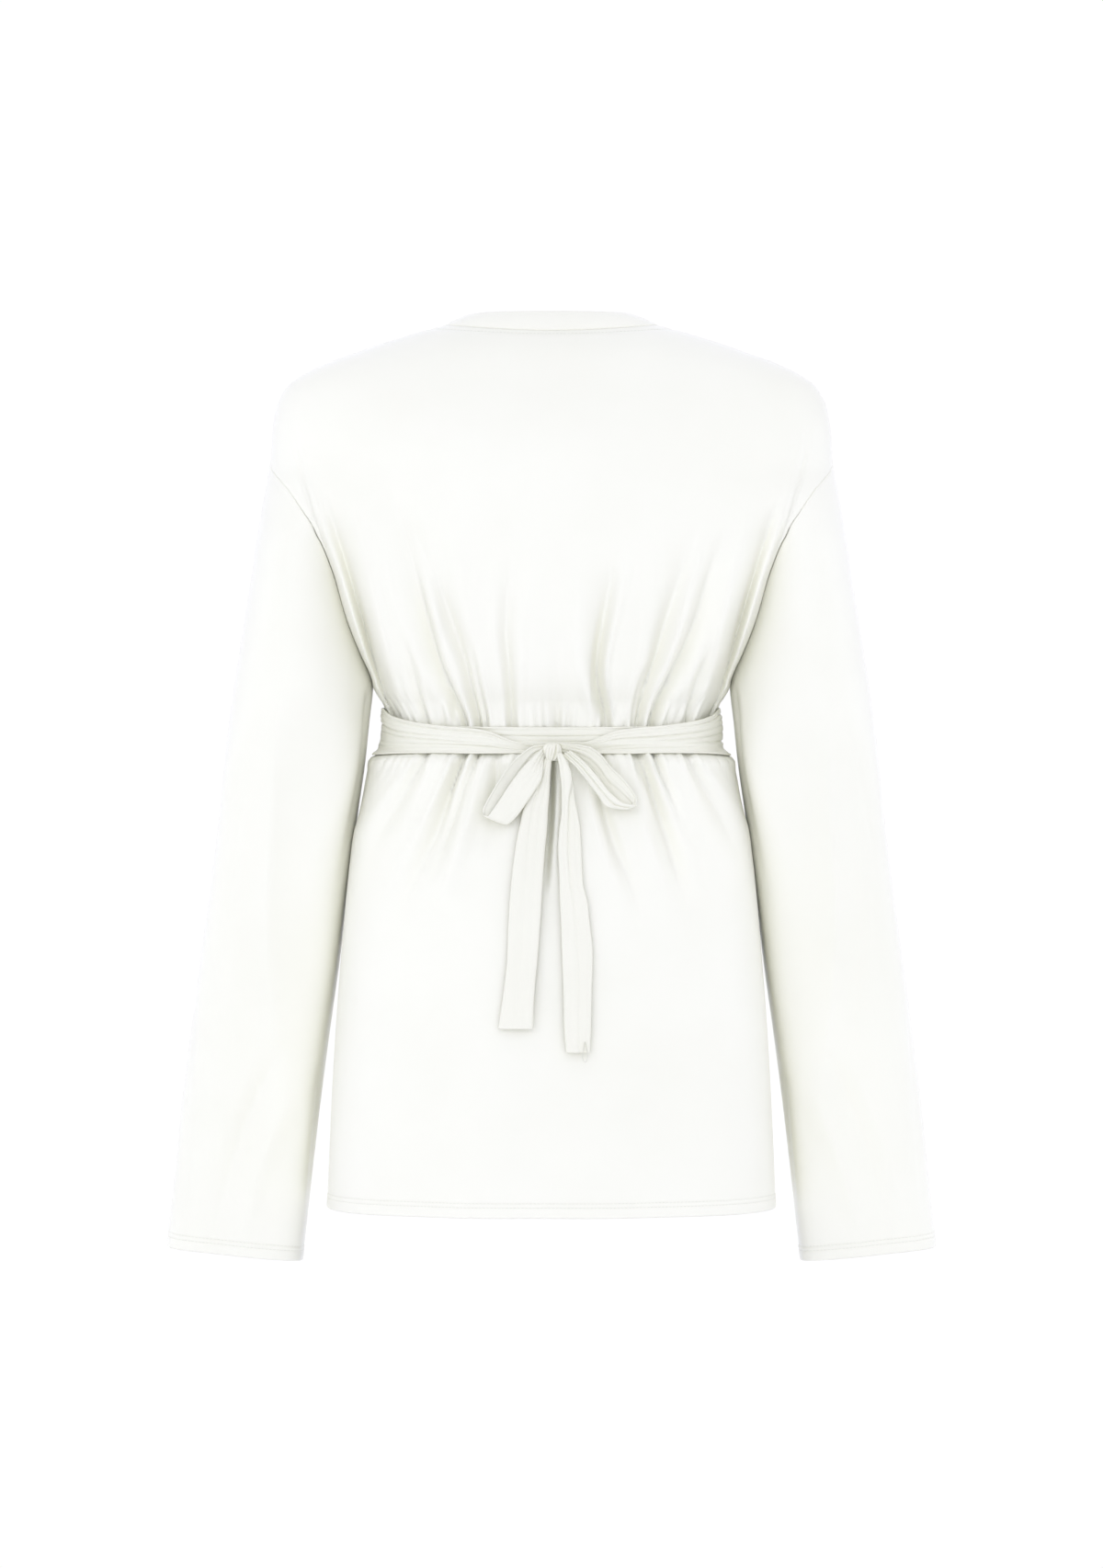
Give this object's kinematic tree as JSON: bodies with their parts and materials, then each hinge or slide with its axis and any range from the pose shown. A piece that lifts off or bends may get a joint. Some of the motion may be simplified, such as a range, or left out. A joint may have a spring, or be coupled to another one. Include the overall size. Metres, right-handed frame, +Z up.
{
  "type": "wrap top",
  "caption": "Long-sleeved jersey wrap top with dropped shoulders, crossed V-neck fronts and waist ties tied in a bow at the back; worn, hollow, and open at neck, hem and cuffs.",
  "frame": {"origin": "midway between the wearer's two shoulders, at the height where the neckband meets the shoulder seams", "axes": "+Z up, along the body; the front faces -Y and the bow is at +Y; +X is the wearer's left"},
  "size_m": [0.6418, 0.256, 0.7845],
  "materials": {
    "jersey": "smooth ivory jersey, soft sheen",
    "tie_jersey": "smooth ivory jersey, turned through"
  },
  "bodies": {
    "root": {"back_panel": "jersey", "front_over": "jersey", "front_under": "jersey", "sleeve_left": "jersey", "sleeve_right": "jersey", "neckband": "jersey", "tie_back_pass": "tie_jersey", "tie_wrap_left": "tie_jersey", "tie_wrap_right": "tie_jersey", "bow_knot": "tie_jersey", "bow_loop_left": "tie_jersey", "bow_loop_right": "tie_jersey", "tie_tail_left": "tie_jersey", "tie_tail_right": "tie_jersey"}
  },
  "joints": []
}
